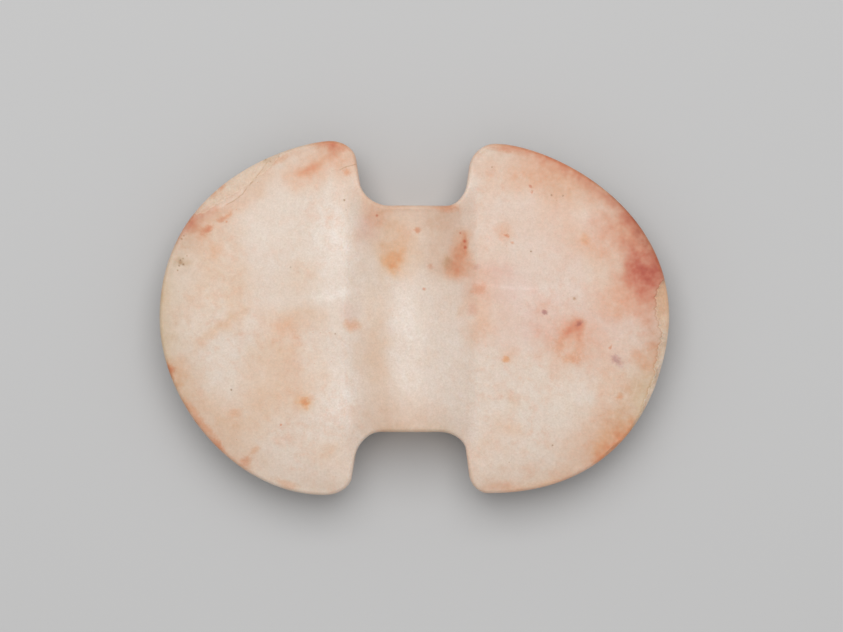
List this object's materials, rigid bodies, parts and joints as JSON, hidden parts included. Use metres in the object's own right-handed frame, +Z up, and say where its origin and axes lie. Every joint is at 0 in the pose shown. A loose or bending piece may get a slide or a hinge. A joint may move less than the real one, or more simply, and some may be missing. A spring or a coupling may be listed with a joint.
{
  "type": "bannerstone",
  "caption": "Double-notched butterfly bannerstone of pale iron-stained quartz, with two wings and a raised barrel bored from notch to notch.",
  "frame": {"origin": "on the ground under the middle of the stone as it lies", "axes": "+X across the wings, +Y along the bore, +Z up from the flat under the barrel"},
  "size_m": [0.165, 0.1146, 0.026],
  "materials": {
    "quartz": "dull polish, cream to pink with iron stains"
  },
  "bodies": {
    "root": {"bannerstone": "quartz"}
  },
  "joints": []
}
